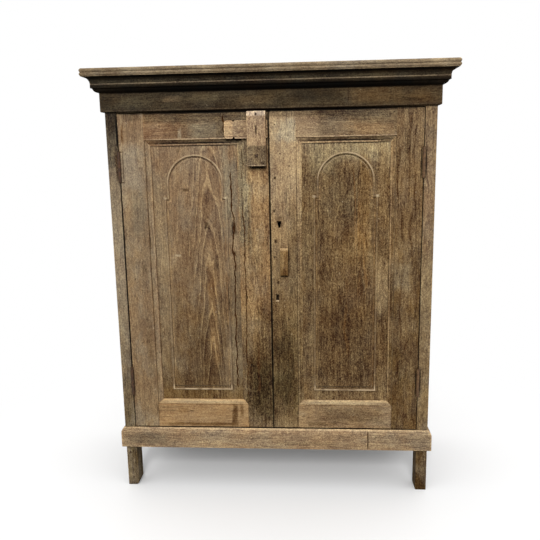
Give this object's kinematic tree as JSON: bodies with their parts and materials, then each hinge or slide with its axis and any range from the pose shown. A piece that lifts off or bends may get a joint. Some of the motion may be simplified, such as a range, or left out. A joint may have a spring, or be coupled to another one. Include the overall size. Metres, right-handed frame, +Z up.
{
  "type": "storage cabinet",
  "caption": "Upright wooden storage cabinet with paired framed doors, arched panels, moulded cornice and base, inner shelves, a sliding wooden bolt and a rim lock.",
  "frame": {"origin": "on the floor, under the centre of the cabinet's box", "axes": "+Z up; the doors face -Y; +X is to the right for someone who faces the doors"},
  "size_m": [1.216, 0.508, 1.494],
  "materials": {
    "carcass_wood": "weathered, bare",
    "inner_wood": "raw, dusty",
    "dark_wood": "blackened old polish",
    "base_wood": "worn, bare",
    "top_wood": "weathered, bare",
    "door_wood": "weathered, traces of old polish",
    "panel_wood": "weathered, traces of old polish",
    "latch_wood": "worn, bare",
    "old_iron": "rusted",
    "fastener_iron": "dull, rusted"
  },
  "bodies": {
    "carcass": {"front_post_left": "carcass_wood", "front_post_right": "carcass_wood", "rear_post_left": "carcass_wood", "rear_post_right": "carcass_wood", "front_top_rail": "inner_wood", "front_bottom_rail": "inner_wood", "rear_top_rail": "inner_wood", "rear_bottom_rail": "inner_wood", "left_side_top_rail": "carcass_wood", "left_side_mid_rail": "carcass_wood", "left_side_bottom_rail": "carcass_wood", "left_side_panels": "carcass_wood", "right_side_top_rail": "carcass_wood", "right_side_mid_rail": "carcass_wood", "right_side_bottom_rail": "carcass_wood", "right_side_panels": "carcass_wood", "back_boards": "inner_wood", "floor_boards": "inner_wood", "lower_shelf": "inner_wood", "upper_shelf": "inner_wood", "shelf_cleats": "inner_wood", "frieze_front": "dark_wood", "frieze_left": "dark_wood", "frieze_right": "dark_wood", "cornice_moulding_front": "dark_wood", "cornice_moulding_left": "dark_wood", "cornice_moulding_right": "dark_wood", "base_moulding_front": "base_wood", "base_moulding_left": "base_wood", "base_moulding_right": "base_wood", "top_board": "top_wood", "left_hinge_post_leaves": "old_iron", "right_hinge_post_leaves": "old_iron", "hinge_pins": "old_iron", "post_hinge_screws": "fastener_iron", "carcass_pegs": "inner_wood"},
    "left_door": {"left_door_hinge_stile": "door_wood", "left_door_meeting_stile": "door_wood", "left_door_top_rail": "door_wood", "left_door_bottom_rail": "door_wood", "left_door_panel": "panel_wood", "left_door_pegs": "door_wood", "left_door_screws": "fastener_iron", "left_hinge_door_leaves": "old_iron", "bolt_keeper": "latch_wood", "keeper_nails": "fastener_iron", "lock_strike": "old_iron"},
    "right_door": {"right_door_hinge_stile": "door_wood", "right_door_meeting_stile": "door_wood", "right_door_top_rail": "door_wood", "right_door_bottom_rail": "door_wood", "right_door_panel": "panel_wood", "right_door_pegs": "door_wood", "right_door_screws": "fastener_iron", "right_hinge_door_leaves": "old_iron", "door_pull": "latch_wood", "lock_case": "old_iron"},
    "wooden_bolt": {"sliding_bolt": "latch_wood"},
    "lock_tongue": {"lock_bolt": "old_iron"}
  },
  "joints": [
    {"name": "left_door_hinge", "type": "hinge", "parent": "carcass", "child": "left_door", "pos_m": [-0.51075, -0.199, 0.7935], "axis": [0, 0, -1], "range_deg": [0, 165]},
    {"name": "right_door_hinge", "type": "hinge", "parent": "carcass", "child": "right_door", "pos_m": [0.51075, -0.199, 0.7935], "axis": [0, 0, 1], "range_deg": [0, 165]},
    {"name": "bolt_slide", "type": "slide", "parent": "left_door", "child": "wooden_bolt", "axis": [1, 0, 0], "range_m": [0, 0.018]},
    {"name": "lock_slide", "type": "slide", "parent": "right_door", "child": "lock_tongue", "axis": [-1, 0, 0], "range_m": [0, 0.012]}
  ]
}
